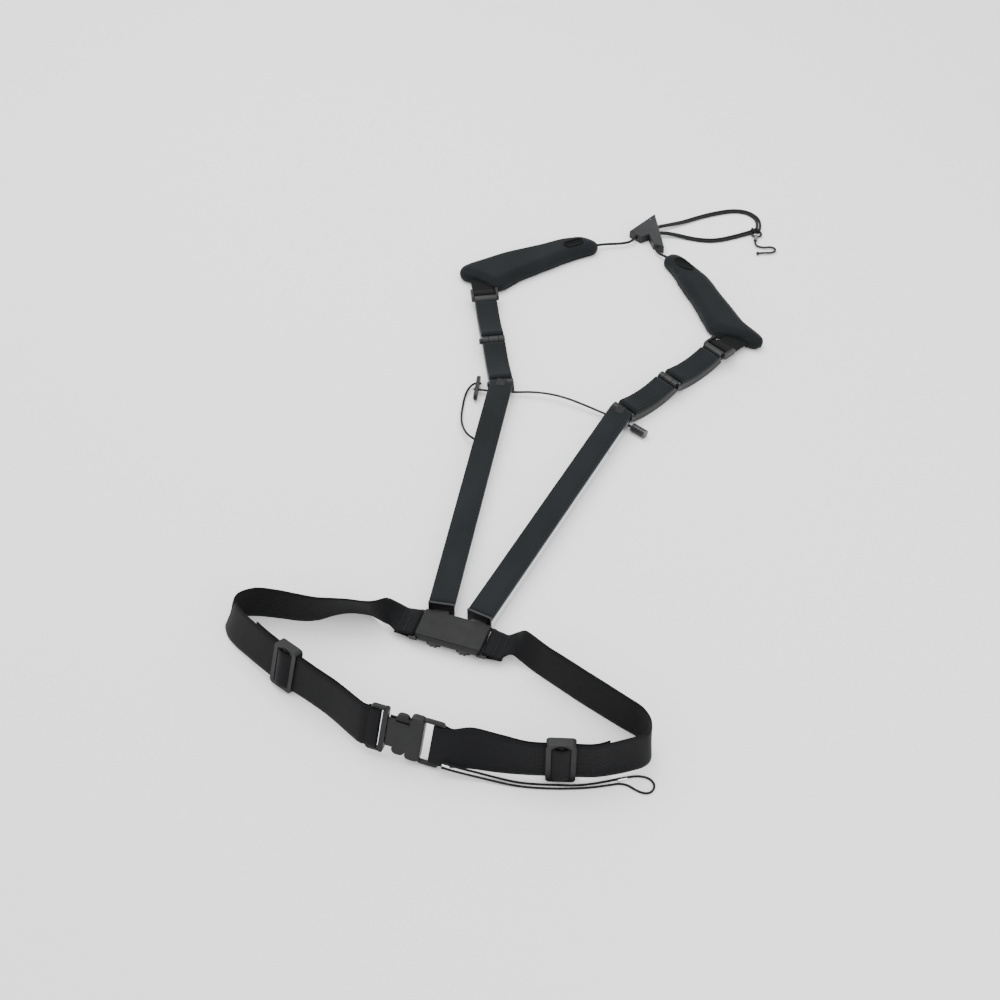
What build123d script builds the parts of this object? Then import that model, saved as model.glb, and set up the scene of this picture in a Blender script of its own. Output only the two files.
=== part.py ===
"""Saxophone back harness: a lumbar plate on a webbing belt, two padded slats, jointed
shoulder links, shoulder pads and the sling that carries the instrument.

Units are millimetres and +Z is up.  The harness lies on its back on a level surface, z = 0.
The origin is on that surface, midway between the two pivot knobs of the lumbar plate.
+Y runs from the belt towards the shoulders and +X to the right.
"""
import os
from math import cos, pi, radians, sin, sqrt, tan

from build123d import *

os.makedirs("parts", exist_ok=True)

# ---- driving dimensions -------------------------------------------------------------
UP = Vector(0, 0, 1)

WEB_WIDTH = 38.0
WEB_THICK = 1.6

PLATE_HALF = 31.0
PLATE_NEAR = -9.0
PLATE_FAR = 22.0
PLATE_LOW = 6.6
PLATE_SPLIT = 9.1
PLATE_TOP = 14.5
FRAME_HALF = 37.0
FRAME_BAR = 3.0
FRAME_RAIL = 2.0
EYE_WIDTH = 29.0

KNOB_X = 14.0
KNOB_R = 8.8
KNOB_HEIGHT = 6.3
STUD_R = 2.4
STUD_TOP = 13.2

SLAT_ANGLE = 8.8
SLAT_WIDTH = 24.0
SLAT_START = 28.0
SLAT_LOW = 6.5
SLAT_TOP = 14.5
SLAT_PAD_TOP = 20.5
SLAT_WALL = 1.5
HINGE_S = 333.0
TONGUE_WIDTH = 14.0
TONGUE_LOW = 9.4
TONGUE_TOP = 11.4

LINK_ANGLE = {"left": 26.5, "right": 28.5}
LINK_CHORD = 69.5
HINGE_Z = 13.5
R_HINGE = 98.0
R_BOTTOM = 105.0
R_SHELL = 97.0
R_PAD = 91.0
KNUCKLE_R = 5.0
KNUCKLE_CLEAR = 0.6
KNUCKLE_WIDTH = 10.0
FORK_SLOT = 11.0
PIN_R = 1.5
PIN_BORE = 1.55

CHEEK_IN = 12.4
CHEEK_OUT = 15.0
BAR_REACH = 9.0
BAR_R = 1.6
TAB_WIDTH = 24.6
TAB_THICK = 2.4
TAB_LENGTH = 42.0
TAB_Z = 8.0

PAD_LOW = 0.1
PAD_TOP = 15.6
PAD_ROUND = 5.0

SLING_D = 3.0
SPREADER_D = 2.4
LEASH_D = 2.0

ADJUSTER_LOW = 0.3
ADJUSTER_SPLIT = 5.6
ADJUSTER_TOP = 10.6


# ---- helpers --------------------------------------------------------------------------
def save(builder, name):
    """Label a finished part, write its STEP file and print its solids."""
    builder.part.label = name
    export_step(builder.part, f"parts/{name}.step")
    print(f"{name}: {len(builder.part.solids())} solid, {builder.part.volume:.0f} mm3")


def heading(angle, side):
    """Unit vector in plan, turned outwards from +Y by an angle in degrees."""
    return Vector(side * sin(radians(angle)), cos(radians(angle)), 0)


def side_plane(origin, along):
    """Upright plane on the table line along; local x is along, local y is up."""
    return Plane(origin=(origin.X, origin.Y, 0), x_dir=along, z_dir=along.cross(UP))


def tube(name, points, diameter):
    """A cord of straight runs joined by arcs as large as the shorter run allows."""
    points = [Vector(*p) for p in points]
    runs = [(b - a).length for a, b in zip(points, points[1:])]
    radii = []
    for i in range(1, len(points) - 1):
        turn = (points[i] - points[i - 1]).get_angle(points[i + 1] - points[i])
        radii.append(0.45 * min(runs[i - 1], runs[i]) / tan(radians(turn / 2)))
    with BuildPart() as cord:
        with BuildLine() as route:
            FilletPolyline(*points, radius=radii)
        with BuildSketch(Plane(origin=points[0], z_dir=points[1] - points[0])):
            Circle(diameter / 2)
        sweep(path=route.wires()[0])
    length = route.wires()[0].length
    ratio = cord.part.volume / (pi * diameter**2 / 4 * length)
    print(f"{name}: length {length:.0f}, least radius {min(radii):.1f}, volume ratio {ratio:.3f}")
    save(cord, name)


def ribbon(stations, thick=WEB_THICK):
    """A ruled band of webbing through stations, each one a pair of opposite edge points."""
    edges = [(Vector(*a), Vector(*b)) for a, b in stations]
    mids = [(a + b) * 0.5 for a, b in edges]
    with BuildPart() as band:
        for i, (low, high) in enumerate(edges):
            ahead = mids[min(i + 1, len(mids) - 1)] - mids[max(i - 1, 0)]
            across = high - low
            normal = ahead.cross(across).normalized()
            with BuildSketch(Plane(origin=mids[i], x_dir=across, z_dir=across.cross(normal))):
                Rectangle(across.length, thick)
        loft(ruled=True)
    return band.part


def on_edge(rail, side, back=0.0):
    """Stations of webbing stood on edge: (x, y, inward lean, lift) for each bottom point."""
    stations = []
    for i, (x, y, lean, lift) in enumerate(rail):
        after = rail[min(i + 1, len(rail) - 1)]
        before = rail[max(i - 1, 0)]
        ahead = Vector(after[0] - before[0], after[1] - before[1], 0).normalized()
        inward = ahead.cross(UP) * side
        rise = sqrt(WEB_WIDTH**2 - lean**2)
        low = Vector(x, y, lift) + inward * back
        high = low + inward * lean + UP * rise
        stations.append((tuple(low), tuple(high)))
    return stations


def sector(plane, r_in, r_out, start, stop, half):
    """Curved bar about the centre of a link's arc, angles in degrees from straight down."""
    cx = LINK_CHORD / 2
    cz = HINGE_Z + sqrt(R_HINGE**2 - cx**2)

    def at(radius, angle):
        return (cx + radius * sin(radians(angle)), cz - radius * cos(radians(angle)))

    mid = (start + stop) / 2
    with BuildPart() as bar:
        with BuildSketch(plane):
            with BuildLine():
                ThreePointArc(at(r_out, start), at(r_out, mid), at(r_out, stop))
                Line(at(r_out, stop), at(r_in, stop))
                ThreePointArc(at(r_in, stop), at(r_in, mid), at(r_in, start))
                Line(at(r_in, start), at(r_out, start))
            make_face()
        extrude(amount=half, both=True)
    return bar.part


# ---- lumbar unit ----------------------------------------------------------------------
mid_y = (PLATE_NEAR + PLATE_FAR) / 2
slot_half = (PLATE_HALF + FRAME_HALF - FRAME_BAR) / 2
slot_width = FRAME_HALF - FRAME_BAR - PLATE_HALF
knob_spots = [(-KNOB_X, 0), (KNOB_X, 0)]

with BuildPart() as lumbar_base:
    with BuildSketch(Plane.XY.offset(PLATE_LOW)):
        with Locations((0, mid_y)):
            RectangleRounded(2 * FRAME_HALF, EYE_WIDTH + 0.8 + 2 * FRAME_RAIL, 2.5)
            with Locations((0, (EYE_WIDTH + 10) / 2 + 15.5), (0, -(EYE_WIDTH + 10) / 2 - 15.5)):
                Rectangle(2 * PLATE_HALF - 6, EYE_WIDTH + 10, mode=Mode.SUBTRACT)
        with Locations((-slot_half, mid_y), (slot_half, mid_y)):
            Rectangle(slot_width, EYE_WIDTH + 0.8, mode=Mode.SUBTRACT)
        with Locations(*knob_spots):
            Circle(STUD_R + 0.1, mode=Mode.SUBTRACT)
    extrude(amount=PLATE_SPLIT - PLATE_LOW)
save(lumbar_base, "lumbar_base")

with BuildPart() as lumbar_cover:
    with BuildSketch(Plane.XY.offset(PLATE_SPLIT)):
        with Locations((0, mid_y)):
            RectangleRounded(2 * PLATE_HALF, PLATE_FAR - PLATE_NEAR, 2.5)
    extrude(amount=PLATE_TOP - PLATE_SPLIT)
    chamfer(lumbar_cover.faces().sort_by(Axis.Z)[-1].edges(), 0.8)
    with BuildSketch(Plane.XY.offset(PLATE_SPLIT)):
        for side in (-1, 1):
            for angle in (SLAT_ANGLE, SLAT_ANGLE - 2.5):
                with Locations(Pos(side * KNOB_X, 0) * Rot(0, 0, -side * angle)):
                    with Locations((0, 20)):
                        Rectangle(TONGUE_WIDTH + 1, 40)
        with Locations(*knob_spots):
            Circle(TONGUE_WIDTH / 2 + 0.5)
    extrude(amount=TONGUE_TOP + 0.3 - PLATE_SPLIT, mode=Mode.SUBTRACT)
    with BuildSketch(Plane.XY.offset(PLATE_SPLIT)):
        with Locations(*knob_spots):
            Circle(4.0)
    extrude(amount=STUD_TOP + 0.3 - PLATE_SPLIT, mode=Mode.SUBTRACT)
save(lumbar_cover, "lumbar_cover")

with BuildPart() as threaded_inserts:
    with BuildSketch(Plane.XY.offset(TONGUE_TOP + 0.3)):
        with Locations(*knob_spots):
            Circle(4.0)
            Circle(STUD_R + 0.1, mode=Mode.SUBTRACT)
    extrude(amount=STUD_TOP - TONGUE_TOP)
save(threaded_inserts, "threaded_inserts")

for side_name, side in (("left", -1), ("right", 1)):
    with BuildPart() as knob:
        with BuildSketch(Plane.XY):
            with Locations((side * KNOB_X, 0)):
                Circle(KNOB_R)
                with PolarLocations(KNOB_R + 1.2, 12):
                    Circle(2.2, mode=Mode.SUBTRACT)
        extrude(amount=KNOB_HEIGHT)
        chamfer(knob.faces().sort_by(Axis.Z)[0].edges(), 0.5)
        with BuildSketch(Plane.XY.offset(KNOB_HEIGHT)):
            with Locations((side * KNOB_X, 0)):
                Circle(STUD_R)
        extrude(amount=STUD_TOP - KNOB_HEIGHT)
    save(knob, f"knob_{side_name}")


# ---- one arm: slat, two links, strap loop, shoulder pad --------------------------------
PAD_OUTLINES = {
    "left": [
        (-40, 597), (-61, 603), (-84, 590), (-104, 572), (-138, 544), (-159, 522),
        (-172, 508), (-175, 498), (-171, 491), (-152, 487), (-123, 481), (-109, 500),
        (-89, 527), (-69, 552), (-47, 577), (-38, 588),
    ],
    "right": [
        (39, 597), (49, 606), (62, 602), (77, 591), (95, 578), (114, 557), (133, 536),
        (156, 511), (174, 496), (178, 488), (174, 481), (149, 483), (122, 486),
        (107, 501), (86, 531), (64, 559), (44, 585),
    ],
}
WINDOWS = {"left": ((-66, 581.5), 45.0), "right": ((65.5, 584.5), -32.0)}
LEADS = {
    "left": [
        (-52, 590, 6), (-43, 598, 6), (-31, 605, 5.6), (-17, 610.5, 5.6), (-6.5, 617.5, 5.6),
        (-3, 630, 5.6), (-3.1, 643, 5.6),
    ],
    "right": [
        (54, 597, 6), (45, 602, 6), (36, 604.8, 5.6), (28, 608.5, 5.6), (23.4, 616.5, 5.6),
        (23, 625.5, 5.6), (23.1, 633, 5.6),
    ],
}


def barrel(plane, spot, radius, half):
    """Round bar across an arm at a spot of its side plane."""
    with BuildPart() as bar:
        with BuildSketch(plane):
            with Locations(spot):
                Circle(radius)
        extrude(amount=half, both=True)
    return bar.part


def fork_slot(plane, spot, reach):
    """The space between the ears of a fork, in which the next barrel turns."""
    with BuildPart() as gap:
        with BuildSketch(plane):
            with Locations(spot):
                Circle(KNUCKLE_R + KNUCKLE_CLEAR)
                with Locations((reach / 2, 0)):
                    Rectangle(reach, 2 * (KNUCKLE_R + 4))
        extrude(amount=FORK_SLOT / 2, both=True)
    return gap.part


def hinge_pin(name, plane, spot, side, half=SLAT_WIDTH / 2, nut=3.4):
    """Hinge pin with a domed cap nut on the outer side of the arm."""
    with BuildPart() as pin:
        with BuildSketch(plane):
            with Locations(spot):
                Circle(PIN_R)
        extrude(amount=half, both=True)
        outer = plane.offset(half * (1 if side > 0 else -1))
        with BuildSketch(outer):
            with Locations(spot):
                RegularPolygon(3.2, 6)
        extrude(amount=nut * (1 if side > 0 else -1))
    save(pin, name)


def build_arm(name, side):
    """Build every piece of one arm."""
    pivot = Vector(side * KNOB_X, 0, 0)
    along = heading(SLAT_ANGLE, side)
    slat = side_plane(pivot, along)
    fork_start = HINGE_S - 26

    with BuildPart() as channel:
        with BuildSketch(slat):
            with Locations(((SLAT_START + fork_start + 14) / 2, (SLAT_LOW + SLAT_TOP) / 2)):
                Rectangle(fork_start + 14 - SLAT_START, SLAT_TOP - SLAT_LOW)
        extrude(amount=SLAT_WIDTH / 2, both=True)
        with BuildSketch(slat):
            with Locations(((SLAT_START + HINGE_S) / 2, (SLAT_LOW + SLAT_TOP) / 2)):
                Rectangle(HINGE_S + 20, SLAT_TOP - SLAT_LOW - 2 * SLAT_WALL)
        extrude(amount=SLAT_WIDTH / 2 - SLAT_WALL, both=True, mode=Mode.SUBTRACT)
        if side < 0:
            with BuildSketch(slat):
                with Locations((249.0, 10.5)):
                    Circle(2.4)
            extrude(amount=-SLAT_WIDTH, mode=Mode.SUBTRACT)
        with BuildSketch(slat):
            with Locations((HINGE_S - 58, 10.5)):
                Circle(1.6)
        extrude(amount=SLAT_WIDTH, both=True, mode=Mode.SUBTRACT)
    save(channel, f"slat_channel_{name}")

    yaw = LINK_ANGLE[name]
    reach = heading(yaw, side)
    start = pivot + along * HINGE_S
    first = side_plane(start, reach)
    hub = (0, HINGE_Z)
    barrel_room = barrel(first, hub, KNUCKLE_R + KNUCKLE_CLEAR + 0.3, SLAT_WIDTH)
    with BuildPart() as slat_pad:
        with BuildSketch(slat):
            with Locations(((SLAT_START + HINGE_S + 8) / 2, (SLAT_TOP + SLAT_PAD_TOP) / 2)):
                Rectangle(HINGE_S + 8 - SLAT_START, SLAT_PAD_TOP - SLAT_TOP)
        extrude(amount=SLAT_WIDTH / 2, both=True)
        with BuildSketch(first):
            with Locations((19, SLAT_TOP)):
                Rectangle(40, 20)
        extrude(amount=SLAT_WIDTH, both=True, mode=Mode.SUBTRACT)
        add(barrel_room, mode=Mode.SUBTRACT)
        long_edges = slat_pad.edges().filter_by(lambda e: e.length > 250)
        fillet(long_edges.group_by(Axis.Z)[-1], 1.6)
    save(slat_pad, f"slat_pad_{name}")

    with BuildPart() as end_cap:
        with BuildSketch(slat):
            with Locations((SLAT_START - 1.0, (SLAT_LOW + SLAT_PAD_TOP) / 2)):
                Rectangle(2.0, SLAT_PAD_TOP - SLAT_LOW)
        extrude(amount=SLAT_WIDTH / 2, both=True)
        with BuildSketch(slat):
            with Locations((SLAT_START + 5, (SLAT_LOW + SLAT_TOP) / 2)):
                Rectangle(10, SLAT_TOP - SLAT_LOW - 2 * SLAT_WALL)
        extrude(amount=SLAT_WIDTH / 2 - SLAT_WALL, both=True)
        with BuildSketch(slat):
            with Locations((SLAT_START, (TONGUE_LOW + TONGUE_TOP) / 2)):
                Rectangle(40, TONGUE_TOP - TONGUE_LOW)
        extrude(amount=TONGUE_WIDTH / 2, both=True, mode=Mode.SUBTRACT)
    save(end_cap, f"slat_end_cap_{name}")

    flat = Plane(origin=pivot + UP * TONGUE_LOW, x_dir=along, z_dir=UP)
    with BuildPart() as tongue:
        with BuildSketch(flat):
            Circle(TONGUE_WIDTH / 2)
            with Locations((SLAT_START / 2 + 7, 0)):
                Rectangle(SLAT_START + 14, TONGUE_WIDTH)
            Circle(STUD_R + 0.1, mode=Mode.SUBTRACT)
        extrude(amount=TONGUE_TOP - TONGUE_LOW)
    save(tongue, f"slat_tongue_{name}")

    ears = barrel(first, hub, KNUCKLE_R, SLAT_WIDTH / 2)
    slot = fork_slot(first, hub, 10)
    bore = barrel(first, hub, PIN_BORE, SLAT_WIDTH)
    with BuildPart() as head:
        with BuildSketch(slat):
            with Locations(((fork_start + HINGE_S - 7) / 2, (SLAT_LOW + SLAT_TOP) / 2)):
                Rectangle(HINGE_S - 7 - fork_start, SLAT_TOP - SLAT_LOW - 2 * SLAT_WALL)
        extrude(amount=SLAT_WIDTH / 2 - SLAT_WALL, both=True)
        with BuildSketch(slat):
            with Locations((fork_start + 15, (SLAT_LOW + SLAT_TOP) / 2)):
                Rectangle(2, SLAT_TOP - SLAT_LOW)
        extrude(amount=SLAT_WIDTH / 2, both=True)
        with BuildSketch(slat):
            with Locations((fork_start + 18, (SLAT_LOW + SLAT_TOP) / 2)):
                Rectangle(8, SLAT_TOP - SLAT_LOW)
        extrude(amount=9, both=True)
        with BuildSketch(first):
            with Locations((-4, (SLAT_LOW + SLAT_TOP) / 2)):
                Rectangle(8, SLAT_TOP - SLAT_LOW)
        extrude(amount=SLAT_WIDTH / 2, both=True)
        add(ears)
        add(slot, mode=Mode.SUBTRACT)
        add(bore, mode=Mode.SUBTRACT)
        with BuildSketch(slat):
            with Locations((HINGE_S - 5, 4.2)):
                Rectangle(11.6, 5.4)
                RectangleRounded(10, 3.6, 1.6, mode=Mode.SUBTRACT)
        extrude(amount=7, both=True)
    save(head, f"slat_head_{name}")
    hinge_pin(f"shoulder_pin_{name}", first, hub, side)

    limit = 20.77
    for number in (1, 2):
        link = side_plane(start, reach)
        near, far = (0, HINGE_Z), (LINK_CHORD, HINGE_Z)
        wide = SLAT_WIDTH / 2
        last = limit - (0.5 if number == 1 else 1.8)
        body = sector(link, R_SHELL, R_BOTTOM, -limit + 4.2, last, wide)
        neck = sector(link, R_SHELL + 0.5, R_BOTTOM - 2.5, -limit + 2.5, -limit + 6, KNUCKLE_WIDTH / 2)
        near_barrel = barrel(link, near, KNUCKLE_R, KNUCKLE_WIDTH / 2)
        far_barrel = barrel(link, far, KNUCKLE_R, wide)
        near_bore = barrel(link, near, PIN_BORE, SLAT_WIDTH)
        far_bore = barrel(link, far, PIN_BORE, SLAT_WIDTH)
        far_slot = fork_slot(link, far, 10)
        with BuildPart() as shell:
            add(body)
            add(far_barrel)
            add(neck)
            add(near_barrel)
            if number == 1:
                add(far_slot, mode=Mode.SUBTRACT)
            add(near_bore, mode=Mode.SUBTRACT)
            add(far_bore, mode=Mode.SUBTRACT)
        save(shell, f"link_{number}_shell_{name}")
        cushion = sector(link, R_PAD, R_SHELL, -limit + 0.2, limit - 0.2, wide)
        near_room = barrel(link, near, KNUCKLE_R + KNUCKLE_CLEAR + 0.2, SLAT_WIDTH)
        with BuildPart() as link_pad:
            add(cushion)
            add(near_room, mode=Mode.SUBTRACT)
            add(far_barrel, mode=Mode.SUBTRACT)
        save(link_pad, f"link_{number}_pad_{name}")
        if number == 1:
            hinge_pin(f"arm_pin_{name}", link, far, side)
        start = start + reach * LINK_CHORD

    end = side_plane(start, reach)
    with BuildPart() as loop:
        for cheek in (end.offset(CHEEK_IN), end.offset(-CHEEK_OUT)):
            with BuildSketch(cheek):
                with Locations(hub):
                    SlotOverall(BAR_REACH + 9, 8, align=(Align.MIN, Align.CENTER))
            extrude(amount=CHEEK_OUT - CHEEK_IN)
        with BuildSketch(end):
            with Locations((BAR_REACH, HINGE_Z)):
                Circle(BAR_R)
            with Locations(hub):
                Circle(PIN_R)
        extrude(amount=CHEEK_OUT - 1, both=True)
    save(loop, f"strap_loop_{name}")

    tab_end = (BAR_REACH + TAB_LENGTH, TAB_Z)
    with BuildPart() as tab:
        with BuildSketch(end):
            with BuildLine():
                Polyline(
                    (BAR_REACH, HINGE_Z - 3.0), (BAR_REACH + 13, TAB_Z - 1.2),
                    (tab_end[0], TAB_Z - 1.2), (tab_end[0], TAB_Z + 1.2),
                    (BAR_REACH + 14, TAB_Z + 1.2), (BAR_REACH + 2, HINGE_Z + 2.6),
                    close=True,
                )
            make_face()
            with Locations((BAR_REACH, HINGE_Z)):
                Circle(3.0)
                Circle(BAR_R + 0.1, mode=Mode.SUBTRACT)
        extrude(amount=TAB_WIDTH / 2 - 0.6, both=True)
    save(tab, f"pad_tab_{name}")

    spot, turn = WINDOWS[name]
    with BuildPart() as shoulder_pad:
        with BuildSketch(Plane.XY.offset(PAD_LOW)):
            with BuildLine():
                Spline(*PAD_OUTLINES[name], periodic=True)
            make_face()
        extrude(amount=PAD_TOP - PAD_LOW)
        fillet(shoulder_pad.edges().group_by(Axis.Z)[-1], PAD_ROUND)
        fillet(shoulder_pad.edges().group_by(Axis.Z)[0], 2.0)
        with BuildSketch(Plane.XY.offset(PAD_TOP - 2)):
            with Locations(Pos(*spot) * Rot(0, 0, turn)):
                Rectangle(20, 11)
        extrude(amount=2, mode=Mode.SUBTRACT)
        with BuildSketch(end):
            with Locations((tab_end[0] - 25, TAB_Z)):
                Rectangle(50, TAB_THICK)
        extrude(amount=TAB_WIDTH / 2 - 0.6, both=True, mode=Mode.SUBTRACT)
        bore = [Vector(*p) for p in LEADS[name][:2]]
        with BuildSketch(Plane(origin=bore[0] - (bore[1] - bore[0]) * 0.2, z_dir=bore[1] - bore[0])):
            Circle(SLING_D / 2 + 0.9)
        extrude(amount=30, mode=Mode.SUBTRACT)
    save(shoulder_pad, f"shoulder_pad_{name}")

    with BuildPart() as window:
        with BuildSketch(Plane.XY.offset(PAD_TOP - 2)):
            with Locations(Pos(*spot) * Rot(0, 0, turn)):
                Rectangle(20, 11)
                Rectangle(15, 6.5, mode=Mode.SUBTRACT)
        extrude(amount=2)
    save(window, f"pad_window_{name}")


build_arm("left", -1)
build_arm("right", 1)


# ---- belt -----------------------------------------------------------------------------
BUCKLE_AXIS = Vector(0.997, 0.039, -0.07).normalized()
BUCKLE_WIDE = Vector(0.05, 0.36, 0.93)
BUCKLE_WIDE = (BUCKLE_WIDE - BUCKLE_AXIS * BUCKLE_WIDE.dot(BUCKLE_AXIS)).normalized()
BUCKLE_CENTRE = Vector(4.6, -118.8, 24.2)
BUCKLE_FACE = BUCKLE_AXIS.cross(BUCKLE_WIDE)
BUCKLE_HALF = 32.5
BUCKLE_BAR_AT = 26.5
BUCKLE_WIDTH = 44.0
BUCKLE_BAR = 4.0

RIGHT_RAIL = [
    (91, -8.5, -6.5, 0), (109, -15.4, -7, 0), (128, -22.6, -7.2, 0), (149, -29.8, -6.8, 0),
    (169, -36.4, -6, 0), (184, -41, -4.5, 0), (195, -48, -1, 0), (201, -58, 4, 0), (198, -68, 7, 0.5),
    (188, -77, 7.5, 1.5), (174, -87, 6.5, 3), (160, -94.9, 4.5, 4.3), (135, -102.5, 4.7, 4.5),
    (110, -110, 5, 4.5), (86, -115.9, 10.5, 4.5), (62, -120.1, 14.5, 4.5),
]
LEFT_RAIL = [
    (-81, 7.4, 13, 0), (-98, 4.2, 13, 0), (-111, -3, 10.5, 0), (-123, -13, 4.5, 0),
    (-137, -18.8, 0, 0), (-156, -22.2, -1.8, 0), (-175, -26, -1.5, 0), (-189, -31, 4, 0),
    (-197.5, -38, 11, 0), (-199, -48, 14, 0.5), (-191, -58, 14, 1.5), (-178, -67, 14, 3),
    (-163, -74.5, 13.5, 4.3), (-150, -80.5, 13, 4.5), (-122, -92, 12.5, 4.5), (-94, -101, 10.5, 4.5),
    (-69, -110.5, 11, 5.2), (-48, -118, 12.7, 7.3),
]
PLATE_TWIST = {
    1: [
        ((57, -1, 11), (57, 21.5, 16)),
        ((66, -2.2, 8), (66, 13, 32)),
        ((75, -4.5, 4.5), (75, 7.5, 35.5)),
        ((84, -6.8, 1.8), (84, 2.5, 36.5)),
    ],
    -1: [
        ((-56, -4.5, 10), (-56, 17.5, 17)),
        ((-63, -0.5, 6), (-63, 9.5, 30)),
        ((-71, 4, 2.5), (-71, 0.5, 33)),
    ],
}


def lumbar_eye(side):
    """Webbing sewn round an end bar of the lumbar plate, with a short doubled tail."""
    bar = Plane(origin=(0, mid_y, 0), x_dir=(side, 0, 0), z_dir=Vector(side, 0, 0).cross(UP))
    low, high = PLATE_LOW - 0.2, PLATE_SPLIT + 0.2
    inner, outer = FRAME_HALF - FRAME_BAR - 0.2, FRAME_HALF + 0.2
    middle = ((inner + outer) / 2, (low + high) / 2)
    with BuildPart() as eye:
        with BuildSketch(bar):
            with Locations(middle):
                RectangleRounded(outer - inner + 3.0, high - low + 3.0, 1.6)
            with Locations((FRAME_HALF + 7.5, middle[1])):
                Rectangle(13, 2 * WEB_THICK)
            with Locations(middle):
                Rectangle(outer - inner, high - low, mode=Mode.SUBTRACT)
        extrude(amount=EYE_WIDTH / 2, both=True)
    return eye.part


def buckle_eye(side):
    """Webbing turned round the bar of one half of the buckle, with a short doubled tail."""
    cut = Plane(origin=BUCKLE_CENTRE, x_dir=BUCKLE_AXIS * side, z_dir=BUCKLE_WIDE)
    bar = BUCKLE_BAR_AT
    with BuildPart() as eye:
        with BuildSketch(cut):
            with Locations((bar, 0)):
                RectangleRounded(BUCKLE_BAR + 3.6, 7.6, 2.4)
            with Locations((bar + 7.5, 0)):
                Rectangle(11, 4.0)
            with Locations((bar, 0)):
                Rectangle(BUCKLE_BAR + 0.4, 4.8, mode=Mode.SUBTRACT)
        extrude(amount=WEB_WIDTH / 2, both=True)
    return eye.part


def buckle_end(side, shift):
    """Edge pair of the webbing where it joins the doubled tail at the buckle."""
    mid = BUCKLE_CENTRE + BUCKLE_AXIS * (side * (BUCKLE_BAR_AT + 11)) + BUCKLE_FACE * shift
    return (tuple(mid - BUCKLE_WIDE * WEB_WIDTH / 2), tuple(mid + BUCKLE_WIDE * WEB_WIDTH / 2))


def plate_end(side):
    """Edge pairs where the webbing leaves the plate flat and turns on to its edge."""
    flat = ((side * 48, mid_y - EYE_WIDTH / 2, 7.9), (side * 48, mid_y + EYE_WIDTH / 2, 7.9))
    return [flat] + PLATE_TWIST[side]


def webbing(name, pieces):
    """Join bands and eyes into one run of webbing."""
    with BuildPart() as web:
        add(pieces)
    save(web, name)


right_outer = ribbon(plate_end(1) + on_edge(RIGHT_RAIL, 1) + [buckle_end(1, 1.0)])
right_inner = ribbon(on_edge(RIGHT_RAIL[-6:], 1, 2.3) + [buckle_end(1, -1.2)])
webbing("belt_right", [right_outer, right_inner, lumbar_eye(1), buckle_eye(1)])

left_web = on_edge(LEFT_RAIL, -1)
last_pair = [tuple(Vector(*a) * 0.06 + Vector(*b) * 0.94) for a, b in zip(left_web[8], left_web[9])]
rear_band = ribbon(plate_end(-1) + left_web[:9] + [last_pair])
webbing("belt_left_rear", [rear_band, lumbar_eye(-1)])

front_outer = ribbon(left_web[9:-1] + [buckle_end(-1, 1.0)])
front_inner = ribbon(on_edge(LEFT_RAIL[-6:], -1, 2.3)[:-1] + [buckle_end(-1, -1.2)])
webbing("belt_left_front", [front_outer, front_inner, buckle_eye(-1)])

face = Plane(origin=BUCKLE_CENTRE, x_dir=BUCKLE_AXIS, z_dir=BUCKLE_FACE)
with BuildPart() as buckle_female:
    with BuildSketch(face.offset(-4.6)):
        with Locations((9, 0)):
            RectangleRounded(13, BUCKLE_WIDTH - 2, 4)
        with Locations((-5, 0)):
            Rectangle(21.2, 26)
    extrude(amount=9.2)
    chamfer(buckle_female.faces().sort_by(Axis(BUCKLE_CENTRE, BUCKLE_FACE))[-1].edges(), 1.2)
    with BuildSketch(face.offset(-2.2)):
        with Locations((23, 0)):
            RectangleRounded(19, BUCKLE_WIDTH, 3.5)
    extrude(amount=4.4)
    with BuildSketch(face.offset(-4.7)):
        with Locations((20, 0)):
            Rectangle(9, WEB_WIDTH + 1.2)
        with Locations((BUCKLE_BAR_AT + 4.4, 0)):
            Rectangle(4.8, WEB_WIDTH + 1.2)
    extrude(amount=9.4, mode=Mode.SUBTRACT)
    with BuildSketch(face.offset(-2.9)):
        with Locations((-6.6, 0)):
            Rectangle(18.2, BUCKLE_WIDTH + 4)
        with Locations((7, 0)):
            Rectangle(10, 25)
    extrude(amount=5.8, mode=Mode.SUBTRACT)
save(buckle_female, "buckle_female")

with BuildPart() as buckle_male:
    with BuildSketch(face.offset(-2.2)):
        with Locations((-24.4, 0)):
            RectangleRounded(16.2, BUCKLE_WIDTH, 3.5)
    extrude(amount=4.4)
    with BuildSketch(face.offset(-3.6)):
        with Locations((-18.6, 0)):
            RectangleRounded(4.6, BUCKLE_WIDTH - 1, 2)
    extrude(amount=7.2)
    with BuildSketch(face.offset(-4.7)):
        with Locations((-22.7, 0)):
            Rectangle(3.6, WEB_WIDTH + 1.2)
        with Locations((-BUCKLE_BAR_AT - 4.4, 0)):
            Rectangle(4.8, WEB_WIDTH + 1.2)
    extrude(amount=9.4, mode=Mode.SUBTRACT)
    with BuildSketch(face.offset(-2.2)):
        with Locations((-5, 0)):
            Rectangle(24, 4)
        with Locations((-11, 10), (-11, -10)):
            Rectangle(13, 4)
        with Locations((-3.6, 14), (-3.6, -14)):
            RectangleRounded(11.6, 12, 4.5)
    extrude(amount=4.4)
save(buckle_male, "buckle_male")


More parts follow.
